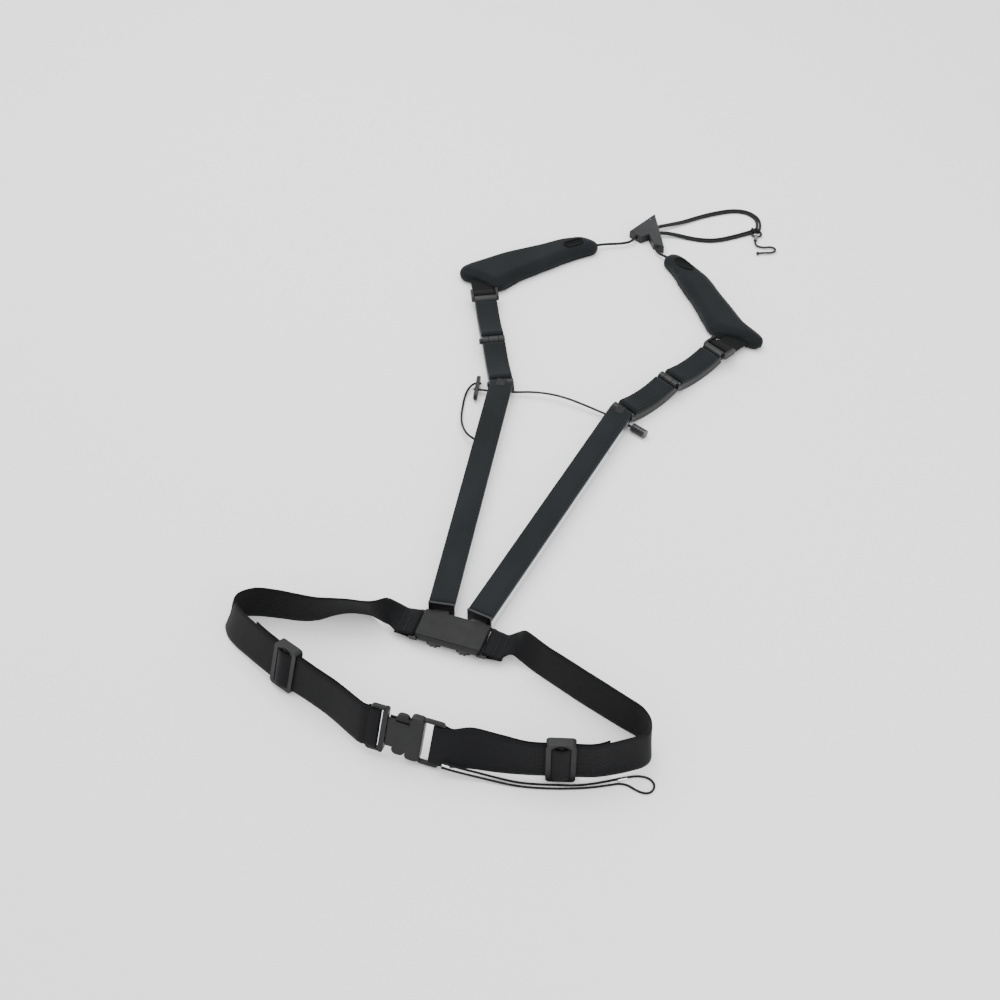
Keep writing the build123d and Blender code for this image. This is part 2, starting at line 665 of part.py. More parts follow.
def triglide(name, rail, side):
    """Three-bar slide that clamps the doubled webbing."""
    a, b = rail
    along = Vector(b[0] - a[0], b[1] - a[1], 0).normalized()
    inward = along.cross(UP) * side
    lean = (a[2] + b[2]) / 2
    wide = (inward * lean + UP * sqrt(WEB_WIDTH**2 - lean**2)).normalized()
    face_dir = inward * wide.dot(UP) - UP * wide.dot(inward)
    low = Vector((a[0] + b[0]) / 2, (a[1] + b[1]) / 2, (a[3] + b[3]) / 2)
    mid = low + wide * (WEB_WIDTH / 2) + face_dir * 1.1
    slide = Plane(origin=mid, x_dir=along, z_dir=-face_dir)
    print(f"triglide {name}: centre {tuple(mid)}, along {tuple(along)}")
    with BuildPart() as glide:
        with BuildSketch(slide.offset(-4.6)):
            RectangleRounded(25, 44, 3.5)
        extrude(amount=9.2)
        with BuildSketch(slide.offset(-3.6)):
            Rectangle(40, 40)
        extrude(amount=7.2, mode=Mode.SUBTRACT)
        with BuildSketch(slide.offset(-4.8)):
            with Locations((-5.6, 0), (5.6, 0)):
                RectangleRounded(5.2, 37, 1.5)
        extrude(amount=9.8, mode=Mode.SUBTRACT)
        with BuildSketch(slide.offset(4.6)):
            SlotOverall(40, 5, rotation=90)
        extrude(amount=1.2)
    save(glide, f"triglide_{name}")


triglide("right", (RIGHT_RAIL[11], RIGHT_RAIL[13]), 1)
triglide("left", (LEFT_RAIL[13], LEFT_RAIL[15]), -1)


# ---- cords ----------------------------------------------------------------------------
SPREADER = [
    (-93.5, 320.5, 5), (-78.5, 323.5, 4.7), (-64, 327.4, 4.2), (-50, 330.5, 4.8), (-35, 334.5, 6.4),
    (-17, 336.5, 7.8), (1, 336, 8.3), (20, 333.5, 7.4), (36, 331, 6), (51, 328.5, 4.7),
    (65.5, 324.4, 4.2), (78, 319.8, 4.9), (90, 315, 5.1),
]
TAIL = [
    (-88.6, 331, 5), (-94.7, 330.7, 5), (-99, 324, 3.5), (-99.5, 312, 2.5), (-96.5, 297, 2.4),
    (-92.5, 281, 3.2), (-86.5, 266, 5.5), (-76.5, 251.5, 9), (-66, 245, 10.5), (-57, 242, 10.5),
]
LOOP_UPPER = [
    (9, 650, 5.6), (19, 659, 5.4), (31, 669.5, 4), (43, 681, 2.6), (57, 696.5, 1.9), (72, 709, 1.8),
    (88.5, 720.5, 1.8), (105, 724.5, 1.8), (119, 718.5, 1.8), (126.5, 706, 1.8), (127.5, 692.5, 2.2),
]
LOOP_LOWER = [
    (11, 641, 5.6), (23, 647.5, 5.2), (38, 651.5, 3.4), (56, 651.5, 2), (74, 653.5, 1.8),
    (88, 659, 1.8), (101, 669, 1.8), (113, 679.5, 1.8), (121.5, 687.5, 2.2),
]
LEASH = [
    (40, -126.2, 11.4), (46.5, -125.6, 10), (56, -124.2, 7.6), (70, -122, 5.2), (87, -119.8, 2.6),
    (103, -117.9, 1.4), (118, -114.3, 1.2), (133, -109.8, 1.2), (148, -105.2, 1.2), (160, -99.8, 1.2),
    (172, -92.8, 1.2), (184, -85, 1.2), (196, -78.5, 1.2), (206, -78, 1.2), (212, -84, 1.2),
    (209.5, -92.5, 1.2), (200.5, -94, 1.2), (186.5, -89, 1.2), (172.5, -97, 1.2), (157, -104.8, 1.2),
    (140, -111.3, 1.2), (122, -117, 1.2), (104, -121.3, 1.4), (87, -123.4, 2.3), (70, -125.4, 4),
    (56, -127.4, 6), (46.5, -128.9, 8), (40.3, -129.8, 9.6),
]
for side_name, route_points in LEADS.items():
    tube(f"lead_{side_name}", route_points, SLING_D)
tube("loop_upper", LOOP_UPPER, SLING_D)
tube("loop_lower", LOOP_LOWER, SLING_D)
tube("spreader_cord", SPREADER, SPREADER_D)
tube("spreader_tail", TAIL, SPREADER_D)
tube("leash", LEASH, LEASH_D)

with BuildPart() as leash_crimps:
    for start, stop in (((40.2, -128, 10.5), (46.5, -127.25, 9)), ((181, -88.9, 1.25), (187.5, -84.6, 1.25))):
        path = Vector(*stop) - Vector(*start)
        with BuildSketch(Plane(origin=start, z_dir=path)):
            Circle(1.25)
        extrude(amount=path.length)
save(leash_crimps, "leash_crimps")

with BuildPart() as cleat:
    with BuildSketch(Plane(origin=(-92.2, 323.1, 5), x_dir=(-0.208, 0.978, 0), z_dir=(0.978, 0.208, 0))):
        SlotOverall(34, 8.4)
        with Locations((-12, 0), (-3, 0), (7.3, 0)):
            Circle(SPREADER_D / 2 + 0.1, mode=Mode.SUBTRACT)
    extrude(amount=3.6)
save(cleat, "cleat")

stop_axis = Vector(15, -6, 0).normalized()
stop_start = Vector(79.5, 319.2, 5.0)
with BuildPart() as barrel_stopper:
    with BuildSketch(Plane(origin=stop_start, z_dir=stop_axis)):
        Circle(4.6)
    extrude(amount=16)
    for groove in (3.0, 6.0, 9.0, 12.0):
        with BuildSketch(Plane(origin=stop_start + stop_axis * groove, z_dir=stop_axis)):
            Circle(6)
            Circle(4.0, mode=Mode.SUBTRACT)
        extrude(amount=1.2, mode=Mode.SUBTRACT)
    with BuildSketch(Plane(origin=stop_start, z_dir=stop_axis)):
        Circle(SPREADER_D / 2 + 0.2)
    extrude(amount=12, mode=Mode.SUBTRACT)
save(barrel_stopper, "barrel_stopper")

ADJUSTER_OUTLINE = [(7, 674), (-12, 632), (4, 625), (11, 633), (20, 619), (34, 615)]
CORD_HOLES = [LEADS["left"][-2:], LEADS["right"][-3::2], LOOP_UPPER[:2], LOOP_LOWER[:2]]
for half_name, low, high in (("bottom", ADJUSTER_LOW, ADJUSTER_SPLIT), ("top", ADJUSTER_SPLIT, ADJUSTER_TOP)):
    with BuildPart() as half:
        with BuildSketch(Plane.XY.offset(low)):
            with BuildLine():
                Polyline(*ADJUSTER_OUTLINE, close=True)
            make_face()
        extrude(amount=high - low)
        outer = half.faces().sort_by(Axis.Z)[-1 if half_name == "top" else 0]
        chamfer(outer.edges(), 0.8)
        for hole in CORD_HOLES:
            a, b = Vector(*hole[0]), Vector(*hole[1])
            with BuildSketch(Plane(origin=a - (b - a) * 0.3, z_dir=b - a)):
                Circle(SLING_D / 2 + 0.6)
            extrude(amount=(b - a).length * 1.6, mode=Mode.SUBTRACT)
        if half_name == "top":
            with BuildSketch(Plane.XY.offset(ADJUSTER_TOP - 2.5)):
                with Locations((5, 662)):
                    Circle(1.6)
            extrude(amount=4, mode=Mode.SUBTRACT)
    save(half, f"adjuster_{half_name}")

RING_CENTRE = Vector(127.5, 685.0, 2.4)
with BuildPart() as sling_ring:
    with BuildSketch(Plane(origin=RING_CENTRE + Vector(5.6, 0, 0), z_dir=(0, 1, 0))):
        Circle(1.3)
    revolve(axis=Axis(RING_CENTRE, (0, 0, 1)), revolution_arc=360)
save(sling_ring, "sling_ring")

SWIVEL = (Vector(128.0, 680.5, 2.4), Vector(129.0, 671.5, 2.4))
with BuildPart() as swivel_barrel:
    with BuildSketch(Plane(origin=SWIVEL[0], z_dir=SWIVEL[1] - SWIVEL[0])):
        Circle(2.3)
    extrude(amount=9)
    with BuildSketch(Plane(origin=SWIVEL[1], z_dir=SWIVEL[0] - SWIVEL[1])):
        Circle(1.5)
    extrude(amount=6, mode=Mode.SUBTRACT)
save(swivel_barrel, "swivel_barrel")

HOOK = [
    (128.5, 676.2, 2.4), (129.4, 668.1, 2.4), (132.8, 662.2, 2.4), (140.5, 661.5, 2.4),
    (148, 665.5, 2.4), (153.5, 665, 2.4), (155.5, 659.5, 2.4), (151.5, 655, 2.4),
    (144, 652.5, 2.4), (137, 649, 2.4),
]
tube("hook_wire", HOOK, 2.6)
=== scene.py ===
from math import cos, pi, radians, sin, sqrt

import bmesh
import bpy
import numpy as np
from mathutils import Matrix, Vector


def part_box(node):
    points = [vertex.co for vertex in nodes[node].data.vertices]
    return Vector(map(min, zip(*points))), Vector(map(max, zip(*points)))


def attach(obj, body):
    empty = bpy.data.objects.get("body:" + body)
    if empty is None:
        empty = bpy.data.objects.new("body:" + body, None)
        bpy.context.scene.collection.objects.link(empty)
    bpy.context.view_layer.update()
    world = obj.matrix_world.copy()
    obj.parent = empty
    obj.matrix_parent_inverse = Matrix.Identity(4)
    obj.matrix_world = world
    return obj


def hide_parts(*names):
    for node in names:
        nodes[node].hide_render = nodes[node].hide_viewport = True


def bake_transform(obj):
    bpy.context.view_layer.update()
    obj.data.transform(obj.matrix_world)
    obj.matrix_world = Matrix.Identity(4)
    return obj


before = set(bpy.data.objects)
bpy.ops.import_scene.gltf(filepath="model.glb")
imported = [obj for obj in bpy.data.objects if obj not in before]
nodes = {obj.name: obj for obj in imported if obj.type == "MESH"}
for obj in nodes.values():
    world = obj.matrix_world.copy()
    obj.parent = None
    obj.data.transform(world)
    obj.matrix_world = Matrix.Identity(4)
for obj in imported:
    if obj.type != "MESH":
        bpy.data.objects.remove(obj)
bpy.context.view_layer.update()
MM = 0.001
UP = np.array((0, 0, 1.0))
scene = bpy.context.scene

# ---- camera -----------------------------------------------------------------
eye = bpy.data.objects.new("camera", bpy.data.cameras.new("camera"))
scene.collection.objects.link(eye)
eye.data.sensor_width = 36
eye.data.lens = 54
eye.data.clip_start = 0.05
eye.data.clip_end = 20
eye.location = (0.3133, -0.7694, 1.0618)
aim = Vector((-0.01646, 0.18302, 0.0)) - eye.location
eye.rotation_euler = aim.to_track_quat("-Z", "Y").to_euler()
scene.camera = eye


# ---- materials ----------------------------------------------------------------
def base_material(name, color, rough, sheen=0.0, metal=0.0, coat=0.0):
    m = bpy.data.materials.new(name)
    m.use_nodes = True
    b = m.node_tree.nodes["Principled BSDF"]
    b.inputs["Base Color"].default_value = (*color, 1)
    b.inputs["Roughness"].default_value = rough
    b.inputs["Metallic"].default_value = metal
    b.inputs["Sheen Weight"].default_value = sheen
    b.inputs["Sheen Roughness"].default_value = 0.5
    b.inputs["Coat Weight"].default_value = coat
    fabric = rough > 0.65
    b.inputs["Specular IOR Level"].default_value = 0.5 if metal else (0.1 if fabric else 0.25)
    return m, m.node_tree, b


def new(tree, kind, **props):
    n = tree.nodes.new(kind)
    for k, v in props.items():
        setattr(n, k, v)
    return n


def tint(tree, b, source, dark, light, low=0.3, high=0.7):
    """Base colour that runs from dark to light with the source."""
    ramp = new(tree, "ShaderNodeValToRGB")
    ramp.color_ramp.elements[0].position = low
    ramp.color_ramp.elements[1].position = high
    ramp.color_ramp.elements[0].color = (*dark, 1)
    ramp.color_ramp.elements[1].color = (*light, 1)
    tree.links.new(source, ramp.inputs["Fac"])
    tree.links.new(ramp.outputs["Color"], b.inputs["Base Color"])


def bump(tree, b, height, distance, strength=1.0, under=None):
    n = new(tree, "ShaderNodeBump")
    n.inputs["Distance"].default_value = distance
    n.inputs["Strength"].default_value = strength
    tree.links.new(height, n.inputs["Height"])
    if under:
        tree.links.new(under.outputs["Normal"], n.inputs["Normal"])
    tree.links.new(n.outputs["Normal"], b.inputs["Normal"])
    return n


def noise(tree, coords, scale, detail=4, rough=0.5):
    n = new(tree, "ShaderNodeTexNoise")
    n.inputs["Scale"].default_value = scale
    n.inputs["Detail"].default_value = detail
    n.inputs["Roughness"].default_value = rough
    tree.links.new(coords, n.inputs["Vector"])
    return n.outputs["Fac"]


def vary_rough(tree, b, source, low, high):
    r = new(tree, "ShaderNodeMapRange")
    r.inputs["To Min"].default_value = low
    r.inputs["To Max"].default_value = high
    tree.links.new(source, r.inputs["Value"])
    tree.links.new(r.outputs["Result"], b.inputs["Roughness"])


def plastic(name, color, rough, grain=900, depth=0.00006, coat=0.0):
    m, t, b = base_material(name, color, rough, coat=coat)
    xyz = new(t, "ShaderNodeTexCoord").outputs["Object"]
    wear = noise(t, xyz, 35, 5)
    lighter = tuple(c * 1.6 + 0.004 for c in color)
    tint(t, b, wear, color, lighter, 0.35, 0.8)
    vary_rough(t, b, noise(t, xyz, 120, 3), rough - 0.08, rough + 0.1)
    bump(t, b, noise(t, xyz, grain, 2), depth)
    return m


def metal(name, color, rough, stretch=(1, 1, 1), depth=0.00002):
    m, t, b = base_material(name, color, rough, metal=1.0)
    xyz = new(t, "ShaderNodeTexCoord").outputs["Object"]
    mp = new(t, "ShaderNodeMapping")
    mp.inputs["Scale"].default_value = stretch
    t.links.new(xyz, mp.inputs["Vector"])
    brushed = noise(t, mp.outputs["Vector"], 600, 4)
    vary_rough(t, b, brushed, rough - 0.06, rough + 0.12)
    bump(t, b, brushed, depth)
    return m


def knit(name, color, cell=1400, depth=0.00022, sheen=0.35):
    m, t, b = base_material(name, color, 0.82, sheen=sheen)
    xyz = new(t, "ShaderNodeTexCoord").outputs["Object"]
    v = new(t, "ShaderNodeTexVoronoi", feature="F1")
    v.inputs["Scale"].default_value = cell
    t.links.new(xyz, v.inputs["Vector"])
    broad = noise(t, xyz, 18, 3)
    tint(t, b, broad, tuple(c * 0.85 for c in color), tuple(c * 1.25 for c in color))
    first = bump(t, b, broad, 0.0006, 0.35)
    bump(t, b, v.outputs["Distance"], depth, 0.7, first)
    return m


def weave(name, color, along, across, depth, sheen=0.2, rough=0.72):
    """Ribbed weave laid out by the piece's own u (along) and v (across), both in metres."""
    m, t, b = base_material(name, color, rough, sheen=sheen)
    uv = new(t, "ShaderNodeTexCoord").outputs["UV"]
    split = new(t, "ShaderNodeSeparateXYZ")
    t.links.new(uv, split.inputs["Vector"])

    def ripple(source, pitch, shift=None):
        f = new(t, "ShaderNodeMath", operation="MULTIPLY")
        f.inputs[1].default_value = 2 * pi / pitch
        t.links.new(source, f.inputs[0])
        if shift:
            a = new(t, "ShaderNodeMath", operation="ADD")
            t.links.new(f.outputs[0], a.inputs[0])
            t.links.new(shift, a.inputs[1])
            f = a
        s = new(t, "ShaderNodeMath", operation="SINE")
        t.links.new(f.outputs[0], s.inputs[0])
        return s.outputs[0]

    ribs = ripple(split.outputs["Y"], across)
    picks = ripple(split.outputs["X"], along, ribs)
    total = new(t, "ShaderNodeMath", operation="MULTIPLY_ADD")
    total.inputs[1].default_value = 0.6
    t.links.new(picks, total.inputs[0])
    t.links.new(ribs, total.inputs[2])
    shade = new(t, "ShaderNodeMapRange")
    shade.inputs["From Min"].default_value = -1.6
    shade.inputs["From Max"].default_value = 1.6
    t.links.new(total.outputs[0], shade.inputs["Value"])
    dark, light = tuple(c * 0.55 for c in color), tuple(c * 1.5 for c in color)
    tint(t, b, shade.outputs["Result"], dark, light, 0.1, 0.9)
    bump(t, b, shade.outputs["Result"], depth)
    return m


BLACK = (0.0048, 0.005, 0.0056)
M_PLASTIC = plastic("moulded_black", BLACK, 0.42)
M_SHELL = plastic("shell_black", (0.0055, 0.0058, 0.0065), 0.36, 500, 0.00005)
M_COVER = plastic("cover_black", (0.0035, 0.0037, 0.004), 0.6, 1500, 0.0001)
M_KNOB = plastic("knob_black", (0.009, 0.009, 0.01), 0.3, 300, 0.00003, 0.3)
M_ADJUSTER = plastic("adjuster_black", (0.011, 0.0115, 0.0125), 0.45, 700, 0.00008)
M_ALU = metal("channel_metal", (0.62, 0.64, 0.67), 0.3, (30, 1, 30))
M_STEEL = metal("steel", (0.22, 0.22, 0.23), 0.35)
M_BRIGHT = metal("crimp_metal", (0.78, 0.78, 0.8), 0.25)
M_HOOK = metal("hook_metal", (0.035, 0.035, 0.038), 0.32)
M_STRIP = knit("strip_cushion", (0.0085, 0.0105, 0.0115), 1300, 0.00018, 0.035)
M_PAD = knit("pad_cover", (0.0075, 0.0092, 0.0102), 1700, 0.00015, 0.045)
M_MESH = knit("window_mesh", (0.0035, 0.0038, 0.004), 700, 0.0006, 0.02)
M_WEB = weave("webbing", (0.0055, 0.0058, 0.0064), 0.0022, 0.0016, 0.00022, 0.03)
M_TAB = weave("tab_webbing", (0.0042, 0.0044, 0.0047), 0.0014, 0.0025, 0.0003, 0.02)
M_BRAID = weave("braided_cord", (0.0065, 0.0068, 0.0078), 0.0022, 0.0011, 0.0003, 0.03, 0.6)
M_SPREADER = weave("spreader_braid", (0.03, 0.031, 0.034), 0.0022, 0.0011, 0.0003, 0.05, 0.6)
M_ELASTIC = weave("elastic_cord", (0.0055, 0.0055, 0.006), 0.0014, 0.0009, 0.0002, 0.03, 0.6)
M_THREAD = weave("thread", (0.011, 0.0115, 0.0125), 0.001, 0.0006, 0.0001, 0.05, 0.6)


# ---- mesh helpers ---------------------------------------------------------------
LOWEST = 0.2 * MM


def mesh_object(name, verts, faces, material, uvs=None, smooth=True):
    me = bpy.data.meshes.new(name)
    me.from_pydata([tuple(map(float, v)) for v in verts], [], faces)
    me.materials.append(material)
    if uvs is not None:
        layer = me.uv_layers.new(name="UVMap")
        for loop in me.loops:
            layer.data[loop.index].uv = uvs[loop.vertex_index]
    if smooth:
        me.shade_smooth()
    ob = bpy.data.objects.new(name, me)
    scene.collection.objects.link(ob)
    return ob


def smooth_path(points, step):
    """Catmull-Rom samples through rows of numbers; step is in the rows' own units."""
    p = np.array(points, float)
    ends = np.vstack([2 * p[0] - p[1], p, 2 * p[-1] - p[-2]])
    out = []
    for i in range(1, len(ends) - 2):
        a, b, c, d = ends[i - 1], ends[i], ends[i + 1], ends[i + 2]
        n = max(2, int(np.ceil(np.linalg.norm((c - b)[:3]) / step)))
        for k in range(n):
            t = k / n
            square = (2 * a - 5 * b + 4 * c - d) * t**2
            cube = (3 * b - a - 3 * c + d) * t**3
            out.append(0.5 * (2 * b + (c - a) * t + square + cube))
    out.append(p[-1])
    return np.array(out)


def unit(v):
    return v / np.maximum(np.linalg.norm(v, axis=-1, keepdims=True), 1e-9)


def ribbon(name, stations, thick, material, step=3.0, columns=13):
    """A strap through stations, each a pair of opposite edge points in millimetres."""
    rows = smooth_path([list(a) + list(b) for a, b in stations], step)
    low, high = rows[:, :3], rows[:, 3:]
    mid = (low + high) / 2
    across = high - low
    normal = unit(np.cross(np.gradient(mid, axis=0), across))
    run = np.concatenate([[0], np.cumsum(np.linalg.norm(np.diff(mid, axis=0), axis=1))])
    width = np.linalg.norm(across, axis=1).mean()
    f = np.linspace(0, 1, columns)
    half = thick / 2 * np.minimum(1, 0.45 + 12 * np.minimum(f, 1 - f))
    verts, uvs, faces = [], [], []
    for i in range(len(rows)):
        for side in (1, -1):
            order = range(columns) if side > 0 else range(columns - 1, -1, -1)
            for j in order:
                verts.append((low[i] + across[i] * f[j] + normal[i] * side * half[j]) * MM)
                uvs.append((run[i] * MM, f[j] * width * MM))
    ring = 2 * columns
    for i in range(len(rows) - 1):
        for j in range(ring):
            k = (j + 1) % ring
            faces.append((i * ring + j, i * ring + k, (i + 1) * ring + k, (i + 1) * ring + j))
    faces.append(tuple(range(ring - 1, -1, -1)))
    faces.append(tuple((len(rows) - 1) * ring + j for j in range(ring)))
    verts = [(x, y, max(z, LOWEST)) for x, y, z in verts]
    return mesh_object(name, verts, faces, material, uvs)


def stitch_line(name, points, normals, material, dash=2.6, gap=1.3, radius=0.32):
    """A row of thread stitches, each a small arched dash lying on a surface."""
    p, n = np.array(points, float), unit(np.array(normals, float))
    run = np.concatenate([[0], np.cumsum(np.linalg.norm(np.diff(p, axis=0), axis=1))])
    verts, faces, uvs = [], [], []
    at = gap / 2
    while at + dash < run[-1]:
        s = np.linspace(at, at + dash, 5)
        c = np.stack([np.interp(s, run, p[:, k]) for k in range(3)], 1)
        m = unit(np.stack([np.interp(s, run, n[:, k]) for k in range(3)], 1))
        t = unit(np.gradient(c, axis=0))
        side = unit(np.cross(t, m))
        lift = np.array([-0.35, 0.1, 0.2, 0.1, -0.35])
        base = len(verts)
        for i in range(5):
            for k in range(6):
                a = k * pi / 3
                off = side[i] * cos(a) * radius + m[i] * (sin(a) * radius + lift[i] * radius * 2)
                verts.append((c[i] + off) * MM)
                uvs.append((s[i] * MM, k * 0.0003))
        for i in range(4):
            for k in range(6):
                q = (k + 1) % 6
                faces.append((base + i * 6 + k, base + i * 6 + q, base + i * 6 + 6 + q, base + i * 6 + 6 + k))
        at += dash + gap
    return mesh_object(name, verts, faces, material, uvs)


def cord_curve(name, points, diameter, material):
    """A cord as a smooth spline with the route's corner points as its control points, in metres."""
    c = bpy.data.curves.new(name, "CURVE")
    c.dimensions = "3D"
    c.resolution_u = 8
    c.bevel_depth = diameter / 2
    c.bevel_resolution = 4
    c.use_fill_caps = True
    s = c.splines.new("NURBS")
    s.points.add(len(points) - 1)
    for q, xyz in zip(s.points, points):
        q.co = (*xyz, 1)
    s.order_u = 3
    s.use_endpoint_u = True
    c.materials.append(material)
    ob = bpy.data.objects.new(name, c)
    scene.collection.objects.link(ob)
    return ob


def curve_samples(ob):
    """Points along a cord curve, read from the curve itself without its thickness."""
    depth = ob.data.bevel_depth
    ob.data.bevel_depth = 0
    bpy.context.view_layer.update()
    me = bpy.data.meshes.new_from_object(ob.evaluated_get(bpy.context.evaluated_depsgraph_get()))
    pts = [tuple(v.co) for v in me.vertices]
    bpy.data.meshes.remove(me)
    ob.data.bevel_depth = depth
    return pts


def path_length(pts):
    p = np.array(pts)
    return float(np.linalg.norm(np.diff(p, axis=0), axis=1).sum())


def as_mesh(ob):
    """Turn a curve object into a mesh object of the same name."""
    bpy.context.view_layer.update()
    me = bpy.data.meshes.new_from_object(ob.evaluated_get(bpy.context.evaluated_depsgraph_get()))
    name = ob.name
    bpy.data.objects.remove(ob)
    out = bpy.data.objects.new(name, me)
    scene.collection.objects.link(out)
    return out


def free_cord(name, points, diameter, material, body, stands_for=None):
    ob = cord_curve(name, points, diameter, material)
    length = path_length(curve_samples(ob))
    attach(ob, body)
    if stands_for:
        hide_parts(stands_for)
    return ob


def metres(points):
    return [tuple(c * MM for c in p) for p in points]


# ---- cords ----------------------------------------------------------------------
SLING_D, SPREADER_D, LEASH_D = 0.003, 0.0024, 0.002
STRAND_GAP = 0.0019
SPREADER = metres([
    (-93.5, 320.5, 5), (-78.5, 323.5, 4.7), (-64, 327.4, 4.2), (-50, 330.5, 4.8), (-35, 334.5, 6.4),
    (-17, 336.5, 7.8), (1, 336, 8.3), (20, 333.5, 7.4), (36, 331, 6), (51, 328.5, 4.7),
    (65.5, 324.4, 4.2), (78, 319.8, 4.9), (90, 315, 5.1),
])
TAIL = metres([
    (-88.6, 331, 5), (-94.7, 330.7, 5), (-99, 324, 3.5), (-99.5, 312, 2.5), (-96.5, 297, 2.4),
    (-92.5, 281, 3.2), (-86.5, 266, 5.5), (-76.5, 251.5, 9), (-66, 245, 10.5), (-57, 242, 10.5),
])
LEAD_LEFT = metres([
    (-52, 590, 6), (-43, 598, 6), (-31, 605, 5.6), (-17, 610.5, 5.6), (-6.5, 617.5, 5.6),
    (-3, 630, 5.6), (-3.1, 643, 5.6),
])
LEAD_RIGHT = metres([
    (54, 597, 6), (45, 602, 6), (36, 604.8, 5.6), (28, 608.5, 5.6), (23.4, 616.5, 5.6),
    (23, 625.5, 5.6), (23.1, 633, 5.6),
])
LOOP_UPPER = metres([
    (9, 650, 5.6), (19, 659, 5.4), (31, 669.5, 4), (43, 681, 2.6), (57, 696.5, 1.9), (72, 709, 1.8),
    (88.5, 720.5, 1.8), (105, 724.5, 1.8), (119, 718.5, 1.8), (126.5, 706, 1.8), (127.5, 692.5, 2.2),
])
LOOP_LOWER = metres([
    (11, 641, 5.6), (23, 647.5, 5.2), (38, 651.5, 3.4), (56, 651.5, 2), (74, 653.5, 1.8),
    (88, 659, 1.8), (101, 669, 1.8), (113, 679.5, 1.8), (121.5, 687.5, 2.2),
])
LEASH = metres([
    (40, -126.2, 11.4), (46.5, -125.6, 10), (56, -124.2, 7.6), (70, -122, 5.2), (87, -119.8, 2.6),
    (103, -117.9, 1.4), (118, -114.3, 1.2), (133, -109.8, 1.2), (148, -105.2, 1.2), (160, -99.8, 1.2),
    (172, -92.8, 1.2), (184, -85, 1.2), (196, -78.5, 1.2), (206, -78, 1.2), (212, -84, 1.2),
    (209.5, -92.5, 1.2), (200.5, -94, 1.2), (186.5, -89, 1.2), (172.5, -97, 1.2), (157, -104.8, 1.2),
    (140, -111.3, 1.2), (122, -117, 1.2), (104, -121.3, 1.4), (87, -123.4, 2.3), (70, -125.4, 4),
    (56, -127.4, 6), (46.5, -128.9, 8), (40.3, -129.8, 9.6),
])
free_cord("spreader_cord_v", SPREADER, SPREADER_D, M_SPREADER, "lumbar",
          "spreader_cord")
for side, route in (("left", LEAD_LEFT), ("right", LEAD_RIGHT)):
    free_cord(f"lead_{side}_v", route, SLING_D, M_BRAID, "sling", f"lead_{side}")


def beside(route, gap):
    """The same route shifted sideways in plan, for the second strand of a pair."""
    p = np.array(route)
    t = unit(np.gradient(p, axis=0))
    side = unit(np.cross(t, UP))
    grow = np.clip(np.linspace(0.4, 1.6, len(p)), 0, 1)[:, None]
    return [tuple(q) for q in p + side * gap * grow]


for label, route in (("upper", LOOP_UPPER), ("lower", LOOP_LOWER)):
    for k, gap in ((1, -STRAND_GAP), (2, STRAND_GAP)):
        strand = beside(route, gap)
        free_cord(f"loop_{label}_{k}", strand, SLING_D, M_BRAID, "adjuster",
                  f"loop_{label}")
free_cord("leash_v", LEASH, LEASH_D, M_ELASTIC, "lumbar", "leash")

tail_curve = cord_curve("spreader_tail_v", TAIL, SPREADER_D, M_BRAID)
tail_path = curve_samples(tail_curve)
tail = as_mesh(tail_curve)
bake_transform(tail)
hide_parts("spreader_tail")


# ---- CAD pieces that are seen as they are -------------------------------------------
def dress(node, material, bevel=0.4):
    ob = nodes[node]
    ob.data.materials.clear()
    ob.data.materials.append(material)
    if bevel:
        b = ob.modifiers.new("edge", "BEVEL")
        b.width = bevel * MM
        b.segments = 2
        b.limit_method = "ANGLE"
        b.angle_limit = radians(35)
        b.harden_normals = True


dress("lumbar_base", M_PLASTIC)
dress("lumbar_cover", M_COVER, 0.5)
dress("threaded_inserts", M_BRIGHT, 0)
dress("buckle_female", M_PLASTIC, 0.6)
dress("buckle_male", M_PLASTIC, 0.6)
dress("cleat", M_PLASTIC)
dress("barrel_stopper", M_KNOB, 0.3)
dress("leash_crimps", M_BRIGHT, 0)
dress("adjuster_top", M_ADJUSTER, 0.3)
dress("adjuster_bottom", M_ADJUSTER, 0.3)
dress("sling_ring", M_HOOK, 0)
dress("swivel_barrel", M_STEEL, 0.3)
dress("hook_wire", M_HOOK, 0)
for side in ("left", "right"):
    dress(f"knob_{side}", M_KNOB, 0.4)
    dress(f"triglide_{side}", M_PLASTIC, 0.5)
    dress(f"slat_channel_{side}", M_ALU, 0.2)
    dress(f"slat_end_cap_{side}", M_PLASTIC, 0.4)
    dress(f"slat_tongue_{side}", M_STEEL, 0)
    dress(f"slat_head_{side}", M_SHELL, 0.3)
    dress(f"shoulder_pin_{side}", M_HOOK, 0.3)
    dress(f"arm_pin_{side}", M_HOOK, 0.3)
    dress(f"link_1_shell_{side}", M_SHELL, 0.4)
    dress(f"link_2_shell_{side}", M_SHELL, 0.4)
    dress(f"strap_loop_{side}", M_PLASTIC, 0.4)
    dress(f"pad_tab_{side}", M_TAB, 0)


# ---- belt webbing --------------------------------------------------------------------
WEB = 38.0
# the buckle: its length axis, the direction across the strap, its face and its centre
AXIS = unit(np.array((0.997, 0.039, -0.07)))
WIDE = np.array((0.05, 0.36, 0.93))
WIDE = unit(WIDE - AXIS * WIDE.dot(AXIS))
FACE = np.cross(AXIS, WIDE)
CENTRE = np.array((4.6, -118.8, 24.2))
